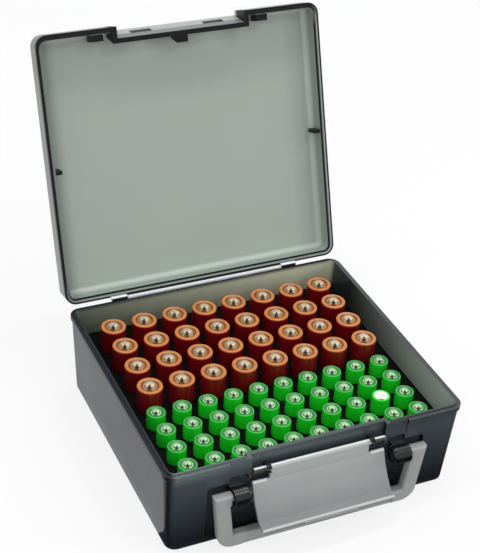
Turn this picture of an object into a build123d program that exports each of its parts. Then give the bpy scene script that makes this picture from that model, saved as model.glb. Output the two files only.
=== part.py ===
from build123d import *
import math
import os

# Storage case for loose round cells, standing open on a table.
# Millimetres. +Z up, front towards -Y. The origin is the centre of the rim's footprint, on the table.

# ---------------------------------------------------------------- driving dimensions
# tub
rim_width = 175.0
rim_depth = 156.0
tub_height = 53.5
rim_proud = 0.7
rim_band = 2.6
corner_radius = 6.0
wall = 2.6
floor = 1.8
side_draft = 3.0
front_draft = 2.0
bottom_round = 1.6
bead_width = 1.0
bead_height = 0.8

# front of the tub: latch notch over a wider handle recess
notch_half = 39.4
recess_half = 64.0
recess_depth = 4.4
recess_wall = 2.2
recess_sill = 3.0
recess_top = 40.0
boss_arch_half = 5.6
boss_arch_top = 43.6
front_step_half = 52.5
front_step = 0.8
front_step_low = 42.4
recess_round = 2.0

# lid, described closed and then swung open
lid_gap = 0.2
lid_height = 14.3
lid_wall = 3.1
lid_panel = 2.2
lid_draft = 0.6
lid_edge_round = 1.6
lid_inner_round = 2.4
lid_open_deg = 110.0
lid_step_depth = 0.95
lid_step_gap = 0.3
lid_recess_back = 6.7
lid_recess_lean = 3.2
lid_recess_wall = 2.8
slot_width = 12.6
slot_height = 4.4
slot_spacing = 45.0
slot_rise = 8.2
rib_reach = 4.2
side_rib_thick = 2.2
front_rib_width = 7.0
front_rib_x = 51.0

# back hinge
hinge_out = 1.3
hinge_rise = 0.4
knuckle_radius = 1.5
lid_knuckle_half = 50.0
base_knuckle_end = 60.0
knuckle_gap = 0.4
hinge_pin_radius = 0.7
pin_fit = 0.05
moving_gap = 0.4

# carry handle
pivot_out = 3.5
pivot_height = 34.6
boss_radius = 5.4
boss_inner = 40.8
boss_outer = 51.9
boss_dome = 3.6
lug_half = 3.8
handle_pin_radius = 2.2
handle_pin_length = 7.0
arm_side_gap = 0.5
arm_width = 10.2
arm_width_low = 7.8
arm_thick = 6.0
arm_head_low = 3.4
arm_step = 0.9
handle_lean = 4.2
bar_drop = 33.4
bar_height = 8.2
bar_corner = 9.0
grip_half = 45.0
grip_step = 1.1
grip_step_height = 3.6
handle_edge_round = 1.6
pin_root = 2.0

# latch plate
rod_radius = 1.6
rod_height = 44.8
rod_out = 0.6
rod_half = 38.6
latch_half = 38.9
latch_thick = 1.9
latch_shoulder = 8.0
latch_foot_out = 12.1
latch_foot_drop = 26.7
latch_hollow = 1.4
lip_out = 5.2
lip_drop = 1.0
tab_half = 15.5
tab_out = 1.2
clip_x = 30.5
clip_width = 2.2
clip_radius = 3.1
clip_mouth = 2.2
clip_root_half = 2.2
clip_mouth_start = 0.8
clip_side_gap = 0.4

# cell rack and cells
rack_gap = 0.3
rack_height = 34.6
rack_deck = 2.0
rack_skin = 1.4
aa_radius = 7.25
aa_shoulder_height = 49.3
aa_nub_height = 50.5
aa_nub_radius = 2.75
aa_mouth_radius = 4.5
aa_pitch_x = 18.97
aa_pitch_y = 19.45
aa_back_row_y = 58.0
aa_columns = 8
aa_rows = 4
aa_socket_gap = 0.35
aaa_radius = 5.25
aaa_shoulder_height = 43.6
aaa_nub_height = 44.5
aaa_nub_radius = 1.9
aaa_mouth_radius = 3.3
aaa_pitch_x = 15.27
aaa_pitch_y = 14.98
aaa_back_row_y = -16.1
aaa_columns = 10
aaa_rows = 4
aaa_socket_gap = 0.3
jacket_wall = 0.25
jacket_fit = 0.05
shoulder_thick = 0.5
turned_row = 3
turned_column = 9

# ---------------------------------------------------------------- sizes that follow
half_w = rim_width / 2
half_d = rim_depth / 2
tub_half_w = half_w - rim_proud
tub_half_d = half_d - rim_proud
notch_face = -tub_half_d + recess_depth - rim_proud
notch_inside = notch_face + recess_wall
lid_bottom = tub_height + lid_gap
lid_top = lid_bottom + lid_height
rib_foot = lid_bottom + lid_step_depth + lid_step_gap
hinge_y = half_d + hinge_out
hinge_z = tub_height + hinge_rise
hinge_axis = Axis((0, hinge_y, hinge_z), (-1, 0, 0))
base_knuckle_start = lid_knuckle_half + knuckle_gap
base_knuckle_ends = [(-base_knuckle_end, -base_knuckle_start), (base_knuckle_start, base_knuckle_end)]
lid_knuckle_ends = [(-lid_knuckle_half, lid_knuckle_half)]
pivot_y = -half_d - pivot_out
rod_y = -half_d + rod_out
far = 4 * rim_width
cut_over = 1.0
seated = (Align.CENTER, Align.CENTER, Align.MIN)


# ---------------------------------------------------------------- small helpers
def block(x0, x1, y0, y1, z0, z1):
    """A box between two corners."""
    size = (x1 - x0, y1 - y0, z1 - z0)
    middle = ((x0 + x1) / 2, (y0 + y1) / 2, (z0 + z1) / 2)
    return Pos(*middle) * Box(*size)


def rod_x(x0, x1, y, z, radius):
    """A round bar along X."""
    return Pos((x0 + x1) / 2, y, z) * Rot(0, 90, 0) * Cylinder(radius, x1 - x0)


def prism_x(points, x0, x1):
    """An outline given as (y, z) points, drawn out along X."""
    face = Plane.YZ.offset(x0) * Polygon(*points, align=None)
    return extrude(face, x1 - x0, dir=(1, 0, 0))


def rounded_slab(width, depth, radius, z, y_middle=0.0):
    """A rounded rectangle at one height."""
    return Plane.XY.offset(z) * Pos(0, y_middle) * RectangleRounded(width, depth, radius)


def tapered_box(low, high, radius):
    """A box with rounded corners between two levels, each (z, half width, front y, back y)."""
    sections = []
    for z, half_x, front, back in (low, high):
        sections.append(rounded_slab(2 * half_x, back - front, radius, z, (front + back) / 2))
    return loft(sections, ruled=True)


def both_sides(shape):
    """A shape and its mirror image across the middle plane."""
    return shape + mirror(shape, Plane.YZ)


def tub_level(z, inset):
    """The tub's outer wall at one height, moved inwards by the inset."""
    lean = z / tub_height
    half_x = tub_half_w - side_draft * (1 - lean) - inset
    front = -(tub_half_d - front_draft * (1 - lean)) + inset
    return z, half_x, front, tub_half_d - inset


def knuckle_room(ends):
    """Space that the other half's knuckles turn in, between the X ends given."""
    room = Part()
    for x0, x1 in ends:
        room += rod_x(x0 - knuckle_gap, x1 + knuckle_gap, hinge_y, hinge_z, knuckle_radius + moving_gap)
    return room


# ---------------------------------------------------------------- tub
def base_shell():
    outer = tapered_box(tub_level(0, 0), tub_level(tub_height, 0), corner_radius)
    outer = fillet(outer.faces().sort_by(Axis.Z)[0].edges(), bottom_round)
    band = rounded_slab(rim_width, rim_depth, corner_radius + rim_proud, tub_height - rim_band)
    outer += extrude(band, rim_band)
    shell_limit = outer

    inner_radius = corner_radius - wall
    hollow = tapered_box(tub_level(floor, wall), tub_level(tub_height + cut_over, wall), inner_radius)
    shell = outer - hollow

    # bead round the inside of the rim
    bead_inner = rounded_slab(2 * (tub_half_w - wall), 2 * (tub_half_d - wall), inner_radius, tub_height)
    bead_outer = rounded_slab(
        2 * (tub_half_w - wall + bead_width),
        2 * (tub_half_d - wall + bead_width),
        inner_radius + bead_width,
        tub_height,
    )
    bead = extrude(bead_outer - bead_inner, bead_height)
    bead_stop = notch_half + recess_wall + cut_over
    bead -= block(-bead_stop, bead_stop, -far, 0, 0, far)
    shell += bead

    # wall behind the notch and the handle recess
    arch_middle = (boss_inner + boss_outer) / 2
    notch_outer = notch_half + recess_wall
    backing = block(-notch_outer, notch_outer, -half_d, notch_inside, floor, tub_height)
    recess_outer = recess_half + recess_wall
    backing += block(-recess_outer, recess_outer, -half_d, notch_inside, floor, recess_top + recess_wall)
    arch_outer = boss_arch_half + recess_wall
    backing += both_sides(
        block(
            arch_middle - arch_outer,
            arch_middle + arch_outer,
            -half_d,
            notch_inside,
            floor,
            boss_arch_top + recess_wall,
        )
    )
    shell += backing & shell_limit

    # the notch, the handle recess and the arches over the bosses, cut from the front
    front_open = -half_d - cut_over
    notch = block(-notch_half, notch_half, front_open, notch_face, recess_sill, tub_height + cut_over)
    recess = block(-recess_half, recess_half, front_open, notch_face, recess_sill, recess_top)
    recess = fillet(recess.edges().filter_by(Axis.Y), recess_round)
    arch = block(
        arch_middle - boss_arch_half,
        arch_middle + boss_arch_half,
        front_open,
        notch_face,
        recess_top - 2 * recess_round,
        boss_arch_top,
    )
    arch = fillet(arch.edges().filter_by(Axis.Y), recess_round)
    shell -= notch
    shell -= recess
    shell -= both_sides(arch)

    # flat step in the wall and rim beside the notch
    step_face = -tub_half_d + front_step
    shell -= block(-front_step_half, front_step_half, front_open, step_face, front_step_low, far)

    # round the notch's upper corners
    corners = shell.edges().filter_by(Axis.Y).group_by(Axis.Z)[-1]
    corners = corners.filter_by(lambda e: abs(abs(e.center().X) - notch_half) < 0.1 and e.center().Y < 0)
    if corners:
        shell = fillet(corners, recess_round)

    # bosses that carry the handle
    boss = rod_x(boss_inner, boss_outer, pivot_y, pivot_height, boss_radius)
    boss = fillet(boss.edges().group_by(Axis.X)[0], boss_dome)
    boss += block(
        boss_inner + boss_dome,
        boss_outer,
        pivot_y,
        notch_face + recess_wall / 2,
        pivot_height - lug_half,
        pivot_height + lug_half,
    )
    socket_length = handle_pin_length + moving_gap
    boss -= rod_x(
        boss_outer - socket_length,
        boss_outer + cut_over,
        pivot_y,
        pivot_height,
        handle_pin_radius + pin_fit,
    )
    shell += both_sides(boss)

    # clips that hold the latch rod
    clip = rod_x(clip_x - clip_width / 2, clip_x + clip_width / 2, rod_y, rod_height, clip_radius)
    clip += block(
        clip_x - clip_width / 2,
        clip_x + clip_width / 2,
        rod_y,
        notch_face + recess_wall / 2,
        rod_height - clip_root_half,
        rod_height + clip_root_half,
    )
    clip -= rod_x(clip_x - clip_width, clip_x + clip_width, rod_y, rod_height, rod_radius + pin_fit)
    clip -= block(
        clip_x - clip_width,
        clip_x + clip_width,
        rod_y - 2 * clip_radius,
        rod_y - clip_mouth_start,
        rod_height - clip_mouth / 2,
        rod_height + clip_mouth / 2,
    )
    shell += both_sides(clip)

    # hinge knuckles on the back rim
    shell -= knuckle_room(lid_knuckle_ends)
    for x0, x1 in base_knuckle_ends:
        knuckle = rod_x(x0, x1, hinge_y, hinge_z, knuckle_radius)
        web_low = hinge_z - 2 * knuckle_radius
        web = prism_x(
            [
                (half_d - rim_proud - wall / 2, web_low),
                (half_d - rim_proud, web_low),
                (hinge_y + knuckle_radius, hinge_z),
                (hinge_y, hinge_z),
                (half_d, tub_height),
                (half_d - rim_proud - wall / 2, tub_height),
            ],
            x0,
            x1,
        )
        shell += knuckle + web
    bore = rod_x(-far, far, hinge_y, hinge_z, hinge_pin_radius + pin_fit)
    return shell - bore


# ---------------------------------------------------------------- lid
def lid_recess_face(z):
    """Y of the lid recess's outer face at one height."""
    lean = (z - lid_bottom) / lid_height
    return -half_d + lid_recess_back - lid_recess_lean * lean


def lid_recess_block(offset, half_x):
    """Everything in front of the lid recess's face, moved back by the offset."""
    low = lid_bottom - cut_over
    high = lid_top + cut_over
    outline = [
        (-half_d - cut_over, low),
        (lid_recess_face(low) + offset, low),
        (lid_recess_face(high) + offset, high),
        (-half_d - cut_over, high),
    ]
    return prism_x(outline, -half_x, half_x)


def side_rib():
    """A locating rib on the inside of a side wall, from the rim step up to the panel."""
    wall_x = half_w - lid_wall
    return block(
        wall_x - rib_reach,
        wall_x + lid_wall / 2,
        -side_rib_thick / 2,
        side_rib_thick / 2,
        rib_foot,
        lid_top - lid_panel / 2,
    )


def front_rib(x, wall_low, wall_high):
    """A locating rib on a front wall whose inside runs from wall_low to wall_high."""
    high = lid_top - lid_panel / 2
    outline = [
        (wall_low - lid_wall / 2, rib_foot),
        (wall_low + rib_reach, rib_foot),
        (wall_high + rib_reach, high),
        (wall_high - lid_wall / 2, high),
    ]
    return prism_x(outline, x - front_rib_width / 2, x + front_rib_width / 2)


def lid_closed():
    outer_low = (lid_bottom, half_w, -half_d, half_d)
    outer_high = (lid_top, half_w - lid_draft, -half_d + lid_draft, half_d - lid_draft)
    radius = corner_radius + rim_proud
    outer = tapered_box(outer_low, outer_high, radius)
    outer = fillet(outer.faces().sort_by(Axis.Z)[-1].edges(), lid_edge_round)

    panel_under = lid_top - lid_panel
    inner_half_w = half_w - lid_wall
    inner_half_d = half_d - lid_wall
    inner_radius = radius - lid_wall
    low = (lid_bottom - cut_over, inner_half_w, -inner_half_d, inner_half_d)
    high = (panel_under, inner_half_w - lid_draft, -inner_half_d + lid_draft, inner_half_d - lid_draft)
    hollow = tapered_box(low, high, inner_radius)
    hollow = fillet(hollow.faces().sort_by(Axis.Z)[-1].edges(), lid_inner_round)
    lid = outer - hollow

    # front recess for the latch, with its own leaning wall
    recess_outer = notch_half + lid_recess_wall
    backing = lid_recess_block(lid_recess_wall, recess_outer) & outer
    lid += backing
    lid -= lid_recess_block(0, notch_half)
    slot_low = lid_bottom + slot_rise - slot_height / 2
    for side in (-1, 1):
        middle = side * slot_spacing / 2
        y_mid = lid_recess_face(lid_bottom + slot_rise)
        lid -= block(
            middle - slot_width / 2,
            middle + slot_width / 2,
            y_mid - 2 * lid_recess_wall,
            y_mid + 2 * lid_recess_wall,
            slot_low,
            slot_low + slot_height,
        )

    # ribs inside the walls
    lid += both_sides(side_rib())
    wall_inside = -half_d + lid_wall
    recess_inside_low = lid_recess_face(lid_bottom) + lid_recess_wall
    recess_inside_high = lid_recess_face(panel_under) + lid_recess_wall
    lid += both_sides(front_rib(front_rib_x, wall_inside, wall_inside + lid_draft))
    lid += front_rib(0, recess_inside_low, recess_inside_high)

    # step round the rim that drops over the tub's bead
    step_half_w = tub_half_w - wall + bead_width + lid_step_gap
    step_half_d = tub_half_d - wall + bead_width + lid_step_gap
    step_radius = corner_radius - wall + bead_width + lid_step_gap
    step_slab = rounded_slab(2 * step_half_w, 2 * step_half_d, step_radius, lid_bottom - cut_over)
    step = extrude(step_slab, cut_over + lid_step_depth)
    step_stop = notch_half + lid_recess_wall
    step -= block(-step_stop, step_stop, -far, 0, 0, far)
    lid -= step

    # hinge knuckles
    lid -= knuckle_room(base_knuckle_ends)
    for x0, x1 in lid_knuckle_ends:
        knuckle = rod_x(x0, x1, hinge_y, hinge_z, knuckle_radius)
        web_high = hinge_z + 2 * knuckle_radius
        web = prism_x(
            [
                (half_d - lid_wall / 2, web_high),
                (half_d - lid_draft / 2, web_high),
                (hinge_y + knuckle_radius, hinge_z),
                (hinge_y, hinge_z),
                (half_d - lid_wall / 2, lid_bottom + lid_step_depth),
            ],
            x0,
            x1,
        )
        lid += knuckle + web
    lid -= rod_x(-far, far, hinge_y, hinge_z, hinge_pin_radius + pin_fit)
    return lid


def lid_shell():
    return lid_closed().rotate(hinge_axis, lid_open_deg)


def hinge_pin():
    pin = rod_x(-base_knuckle_end, base_knuckle_end, hinge_y, hinge_z, hinge_pin_radius)
    return chamfer(pin.edges(), hinge_pin_radius / 4)


# ---------------------------------------------------------------- handle
def carry_handle():
    inner_x = boss_outer + arm_side_gap
    outer_top = inner_x + arm_width
    outer_low = outer_top - handle_lean
    bar_low = pivot_height - bar_drop
    bar_high = bar_low + bar_height
    inner_low = outer_low - arm_width_low
    arm_inner = inner_x + arm_step

    head_top = pivot_height + arm_thick / 2
    outer_line = [
        (-outer_low, bar_low),
        (outer_low, bar_low),
        (outer_top, head_top),
        (-outer_top, head_top),
    ]
    head_low = pivot_height - arm_head_low
    inner_line = [
        (-inner_low, bar_high),
        (inner_low, bar_high),
        (arm_inner, head_low - arm_step),
        (inner_x, head_low),
        (inner_x, head_top + cut_over),
        (-inner_x, head_top + cut_over),
        (-inner_x, head_low),
        (-arm_inner, head_low - arm_step),
    ]
    back = pivot_y + arm_thick / 2
    outer_face = Plane.XZ.offset(-back) * Polygon(*outer_line, align=None)
    inner_face = Plane.XZ.offset(-back) * Polygon(*inner_line, align=None)
    outer = extrude(outer_face, arm_thick)
    outer = fillet(outer.edges().filter_by(Axis.Y).group_by(Axis.Z)[0], bar_corner)
    inner = extrude(inner_face, arm_thick)
    inner = fillet(inner.edges().filter_by(Axis.Y).group_by(Axis.Z)[0], bar_corner - arm_width_low)
    handle = outer - inner

    # rounded edges along both faces and over the ends of the arms
    front = pivot_y - arm_thick / 2
    handle = fillet(handle.faces().filter_by(Axis.Y).edges(), handle_edge_round)
    pin = rod_x(inner_x - handle_pin_length, outer_top - pin_root, pivot_y, pivot_height, handle_pin_radius)
    handle += both_sides(pin)
    handle -= block(
        -grip_half,
        grip_half,
        front - cut_over,
        front + grip_step,
        bar_low - cut_over,
        bar_low + grip_step_height,
    )
    return handle


# ---------------------------------------------------------------- latch
def strip(line, half_x):
    """A plate that follows a line of the section, as thick as the latch."""
    outline = offset(line, latch_thick / 2, kind=Kind.INTERSECTION)
    section = make_face(outline.edges())
    return extrude(Plane.YZ.offset(-half_x) * section, 2 * half_x)


def latch_plate():
    shoulder = (rod_y, rod_height - latch_shoulder)
    foot = (rod_y - latch_foot_out, rod_height - latch_foot_drop)
    lip_end = (foot[0] - lip_out, foot[1] - lip_drop)
    tab_end = (lip_end[0] - tab_out, lip_end[1] - tab_out * lip_drop / lip_out)
    chord_y = foot[0] - shoulder[0]
    chord_z = foot[1] - shoulder[1]
    chord = math.hypot(chord_y, chord_z)
    belly = (
        (shoulder[0] + foot[0]) / 2 - chord_z / chord * latch_hollow,
        (shoulder[1] + foot[1]) / 2 + chord_y / chord * latch_hollow,
    )
    curve = ThreePointArc(shoulder, belly, foot)
    plate = strip(Wire([curve, Line(foot, lip_end)]), latch_half)
    plate += strip(Wire([Line(foot, tab_end)]), tab_half)
    neck_half = clip_x - clip_width / 2 - clip_side_gap
    plate += strip(Wire([Line((rod_y, rod_height), shoulder)]), neck_half)
    plate += rod_x(-rod_half, rod_half, rod_y, rod_height, rod_radius)
    return plate


# ---------------------------------------------------------------- cell rack
def socket_places(columns, rows, pitch_x, pitch_y, back_row_y):
    """Rows from the back to the front, each a list of (x, y) from left to right."""
    places = []
    for row in range(rows):
        y = back_row_y - row * pitch_y
        places.append([((column - (columns - 1) / 2) * pitch_x, y) for column in range(columns)])
    return places


aa_places = socket_places(aa_columns, aa_rows, aa_pitch_x, aa_pitch_y, aa_back_row_y)
aaa_places = socket_places(aaa_columns, aaa_rows, aaa_pitch_x, aaa_pitch_y, aaa_back_row_y)


def rack_level(z, inset):
    """The rack's outer wall at one height: inside the tub, with a flat front."""
    level, half_x, _, back = tub_level(z, wall + rack_gap + inset)
    return level, half_x, notch_inside + rack_gap + inset, back


def cell_rack():
    top = floor + rack_height
    radius = corner_radius - wall
    outer = tapered_box(rack_level(floor, 0), rack_level(top, 0), radius)
    under = top - rack_deck
    hollow = tapered_box(rack_level(floor - cut_over, rack_skin), rack_level(under, rack_skin), radius - rack_skin)
    rack = outer - hollow
    bores = []
    for places, bore_radius in (
        (aa_places, aa_radius + aa_socket_gap),
        (aaa_places, aaa_radius + aaa_socket_gap),
    ):
        for x, y in sum(places, []):
            bores.append(Pos(x, y, top) * Cylinder(bore_radius, 2 * rack_deck + cut_over))
    rack -= bores
    return rack


# ---------------------------------------------------------------- cells
def cell(radius, shoulder_height, nub_height, nub_radius, mouth_radius):
    """The steel can with its raised contact, and the jacket round it, standing at the origin."""
    can_radius = radius - jacket_wall - jacket_fit
    can_top = shoulder_height - shoulder_thick - jacket_fit
    foot_rise = 2 * jacket_wall
    can = Pos(0, 0, foot_rise) * Cylinder(can_radius, can_top - foot_rise, align=seated)
    can += Cylinder(can_radius - 2 * jacket_wall, foot_rise, align=seated)
    can += Pos(0, 0, can_top) * Cylinder(mouth_radius - jacket_fit, shoulder_thick / 2, align=seated)
    can += Pos(0, 0, can_top) * Cylinder(nub_radius, nub_height - can_top, align=seated)
    can = fillet(can.edges().sort_by(Axis.Z)[-1], jacket_wall)

    jacket = Pos(0, 0, jacket_fit) * Cylinder(radius, shoulder_height - jacket_fit, align=seated)
    jacket = fillet(jacket.edges().group_by(Axis.Z)[-1], 2 * jacket_wall)
    jacket -= Cylinder(can_radius + jacket_fit, shoulder_height - shoulder_thick, align=seated)
    jacket -= Cylinder(mouth_radius, shoulder_height + cut_over, align=seated)
    return can, jacket


aa_cell = cell(aa_radius, aa_shoulder_height, aa_nub_height, aa_nub_radius, aa_mouth_radius)
aaa_cell = cell(aaa_radius, aaa_shoulder_height, aaa_nub_height, aaa_nub_radius, aaa_mouth_radius)


def row_of(piece, places, turned_columns, height):
    """Copies of one piece of a cell along a row of sockets."""
    copies = []
    for column, (x, y) in enumerate(places):
        place = Pos(x, y, floor)
        if column in turned_columns:
            place = Pos(x, y, floor + height) * Rot(180, 0, 0)
        copies.append(place * piece)
    return Compound(children=copies)


def save(name, shape):
    export_step(shape, os.path.join("parts", name + ".step"))


os.makedirs("parts", exist_ok=True)
save("base_shell", base_shell())
save("lid_shell", lid_shell())
save("hinge_pin", hinge_pin())
save("carry_handle", carry_handle())
save("latch_plate", latch_plate())
save("cell_rack", cell_rack())
for number, places in enumerate(aa_places, start=1):
    save(f"aa_cans_row_{number}", row_of(aa_cell[0], places, [], aa_nub_height))
    save(f"aa_jackets_row_{number}", row_of(aa_cell[1], places, [], aa_nub_height))
for number, places in enumerate(aaa_places, start=1):
    flipped = [turned_column - 1] if number == turned_row else []
    save(f"aaa_cans_row_{number}", row_of(aaa_cell[0], places, flipped, aaa_nub_height))
    save(f"aaa_jackets_row_{number}", row_of(aaa_cell[1], places, flipped, aaa_nub_height))
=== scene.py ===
import math

import bpy
from mathutils import Matrix, Vector


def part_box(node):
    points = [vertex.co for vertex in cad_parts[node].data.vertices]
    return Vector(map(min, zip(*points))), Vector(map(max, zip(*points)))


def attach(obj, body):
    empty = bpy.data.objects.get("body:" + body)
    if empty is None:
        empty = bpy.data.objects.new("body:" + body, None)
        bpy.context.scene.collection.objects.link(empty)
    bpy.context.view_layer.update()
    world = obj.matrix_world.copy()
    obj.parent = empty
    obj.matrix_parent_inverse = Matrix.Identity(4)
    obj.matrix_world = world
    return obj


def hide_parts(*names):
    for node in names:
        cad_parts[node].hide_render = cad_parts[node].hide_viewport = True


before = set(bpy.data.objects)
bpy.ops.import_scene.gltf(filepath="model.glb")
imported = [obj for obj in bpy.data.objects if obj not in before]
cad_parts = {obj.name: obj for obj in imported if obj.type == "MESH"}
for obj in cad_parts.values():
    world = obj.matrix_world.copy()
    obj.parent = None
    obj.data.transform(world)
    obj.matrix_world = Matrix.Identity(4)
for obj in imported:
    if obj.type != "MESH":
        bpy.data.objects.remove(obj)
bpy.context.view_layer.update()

# A carry case for round dry cells, standing open on a pale table.
# Metres, in the CAD model's frame: +Z up, -Y towards the front.
# Named sizes are in millimetres, and MM turns them to metres.
MM = 0.001

# ---------------------------------------------------------------- driving sizes
# camera, solved from the photograph
camera_azimuth = math.radians(-26.359)
camera_elevation = math.radians(33.953)
camera_roll = math.radians(4.177)
camera_place = Vector((-300.431, -573.444, 542.608)) * MM
focal_length_pixels = 1439.78
image_height_pixels = 553
sensor_size = 36.0

# tub, as in the CAD model
rim_half_width = 87.5
rim_half_depth = 78.0
rim_corner_radius = 6.7
tub_floor = 1.8
clip_place = 30.5

# lid, as in the CAD model, with its heights as when it is shut
hinge = Vector((0, 79.3, 53.9)) * MM
lid_open = math.radians(110)
lid_rim_face = 54.65
lid_wall = 3.1
lid_panel_inside = 65.8
pocket_cheek = 41.1
slot_spacing = 45.0
slot_width = 12.6
slot_height = 4.4
slot_middle = 61.9

# latch, as in the CAD model
rod_bare_from = 30.9
lip_out = 94.7

# cells
large_radius = 7.25
large_bore = 6.95
large_can_radius = 6.9
large_nub_radius = 2.75
large_height = 50.5
large_columns = 8
small_radius = 5.25
small_bore = 4.95
small_can_radius = 4.85
small_nub_radius = 1.9
small_height = 44.5
small_columns = 10
cell_rows = 4
turned_kind = "aaa"
turned_row = 3
turned_column = 9

# studio, in metres: each soft box has a name, a place, a target, a width, a height and a power
soft_boxes = [
    ("right_box", (1.0, -0.55, 0.5), (0, 0, 0.03), 0.12, 0.12, 1.6),
    ("left_box", (-0.75, -0.95, 0.95), (0, 0, 0.03), 0.12, 0.12, 1.6),
    ("small_box", (0.32, -0.55, 1.08), (0, -0.08, 0.04), 0.07, 0.07, 1.5),
    ("strip_box", (0, 0.12, 1.2), (0, -0.05, 0.03), 1.3, 0.12, 5.0),
]
sky_strength = 0.85
table_glow = 0.8

# how finely the cells are drawn
cell_sides = 32
merge_distance = 0.002
smooth_below = math.radians(35)

# Rings of each cell's can and jacket, from the foot up: (radius, height, finish of the band that ends there).
# A can is closed at its two ends. A jacket comes back down inside and ends where it starts.
PLATE, GROOVE, STEP, FOOT = 0, 1, 2, 3
SIDE, EDGE, SHOULDER, THROAT = 0, 1, 2, 3
large_can_rings = [
    (4.4, 0.25, PLATE),
    (4.8, 0.0, PLATE),
    (5.5, 0.0, PLATE),
    (6.3, 0.35, PLATE),
    (large_can_radius, 0.5, PLATE),
    (large_can_radius, 48.45, PLATE),
    (4.3, 48.5, PLATE),
    (4.2, 48.75, STEP),
    (3.95, 48.9, STEP),
    (3.45, 48.9, STEP),
    (3.2, 48.75, PLATE),
    (2.9, 48.75, GROOVE),
    (large_nub_radius, 48.9, PLATE),
    (large_nub_radius, 49.8, PLATE),
    (2.55, 50.15, PLATE),
    (2.1, 50.3, PLATE),
    (1.2, 50.44, PLATE),
    (0.3, 50.48, PLATE),
]
large_jacket_rings = [
    (5.6, 0.1, SIDE),
    (6.9, 0.14, SIDE),
    (7.2, 0.5, SIDE),
    (large_radius, 1.1, SIDE),
    (large_radius, 48.2, SIDE),
    (7.22, 48.75, EDGE),
    (7.1, 49.05, SHOULDER),
    (6.85, 49.22, SHOULDER),
    (6.5, 49.28, SHOULDER),
    (5.6, 49.26, SHOULDER),
    (5.25, 49.1, SHOULDER),
    (4.5, 48.75, THROAT),
    (4.25, 48.7, THROAT),
    (4.3, 48.62, THROAT),
    (5.2, 48.7, THROAT),
    (large_bore, 48.7, SIDE),
    (large_bore, 0.6, SIDE),
    (5.6, 0.3, SIDE),
]
small_can_rings = [
    (2.6, 0.03, FOOT),
    (3.3, 0.0, FOOT),
    (3.85, 0.0, FOOT),
    (4.4, 0.3, PLATE),
    (small_can_radius, 0.45, PLATE),
    (small_can_radius, 42.85, PLATE),
    (3.1, 42.9, PLATE),
    (3.0, 43.15, STEP),
    (2.8, 43.25, STEP),
    (2.35, 43.25, PLATE),
    (2.2, 43.1, PLATE),
    (2.0, 43.1, GROOVE),
    (small_nub_radius, 43.3, PLATE),
    (small_nub_radius, 44.0, PLATE),
    (1.75, 44.26, PLATE),
    (1.4, 44.36, PLATE),
    (0.8, 44.44, PLATE),
    (0.2, 44.48, PLATE),
]
small_jacket_rings = [
    (4.0, 0.1, SIDE),
    (4.95, 0.14, SIDE),
    (5.2, 0.45, SIDE),
    (small_radius, 0.9, SIDE),
    (small_radius, 42.7, SIDE),
    (5.21, 43.1, SIDE),
    (5.05, 43.4, SIDE),
    (4.75, 43.5, EDGE),
    (4.5, 43.44, EDGE),
    (4.35, 43.5, SHOULDER),
    (4.0, 43.5, SHOULDER),
    (3.85, 43.4, SHOULDER),
    (3.2, 43.28, THROAT),
    (3.05, 43.2, THROAT),
    (3.1, 43.08, THROAT),
    (3.9, 43.1, THROAT),
    (small_bore, 43.1, SIDE),
    (small_bore, 0.5, SIDE),
    (4.0, 0.3, SIDE),
]

# ---------------------------------------------------------------- where the looks of a piece change
# Each look changes from place 1 to place 2, in millimetres. It goes from none to full, or from 3 to 4 where
# they are given. A name that ends in cosine holds cosines instead, of how far a face is turned.
# tub: its painted light and shade
tub_rightwards = {1: -80, 2: 60}
tub_backwards = {1: -60, 2: 50}
tub_downwards = {1: 46, 2: 6}
tub_rim_band = {1: 46, 2: 51}
tub_left_wall = {1: -82, 2: -84.5}
# tub: its inside, which takes painted light, from the middle of the recess's wall. facing_middle is a
# cosine times a distance.
facing_middle = {1: -10, 2: -20}
facing_back_cosine = {1: -0.5, 2: -0.7}
past_recess_end = {1: 65.2, 2: 66}
behind_recess_wall = {1: -72.6, 2: -72.2}
# tub: its places of painted shade
before_recess_wall = {1: -72.2, 2: -72.6}
facing_left_cosine = {1: 0.6, 2: 0.8}
back_rim = {1: 74.4, 2: 75}
back_rim_step = {1: 52.8, 2: 53.2}
clip_before_wall = {1: -73.8, 2: -74.1}
clip_above_recess = {1: 38, 2: 38.5}
clip_sides = {1: 1.5, 2: 1.3}
# tub: its thin knuckles, painted near white as a painted glow, and its bosses
tub_knuckles = {1: rim_half_depth + 0.1, 2: rim_half_depth + 0.5}
boss_before_rim = {1: -rim_half_depth - 0.5, 2: -rim_half_depth - 2}
boss_height = {1: 42, 2: 41}
boss_roughness = 0.28
# lid: its painted light and shade
lid_towards_hinge = {1: -78, 2: 70}
lid_left_wall = {1: -74, 2: -85, 4: 0.6}
lid_off_left_wall = {1: -84, 2: -74, 4: 0.4}
fillet_height = {1: 61, 2: 63}
fillet_depth = {1: 7.5, 2: 5.5}
lid_knuckles = {1: -0.1, 2: -0.4}
# lid: the pocket for the latch, its cheeks and its slots, in painted light and shade
lid_free_edge = {1: -60, 2: -62}
pocket_width = {1: 39.6, 2: 39.3}
pocket_back = {1: 6.7, 2: 6.6}
pocket_front = {1: 3.6, 2: 3.8}
pocket_low = {1: 60.6, 2: 60}
cheek_width = {1: 1.9, 2: 1.7}
cheek_height = {1: lid_panel_inside - 0.4, 2: lid_panel_inside - 0.8}
slot_ends = {1: slot_width / 2 + 0.15, 2: slot_width / 2 + 0.1}
slot_edges = {1: slot_height / 2 + 0.15, 2: slot_height / 2 + 0.1}
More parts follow.
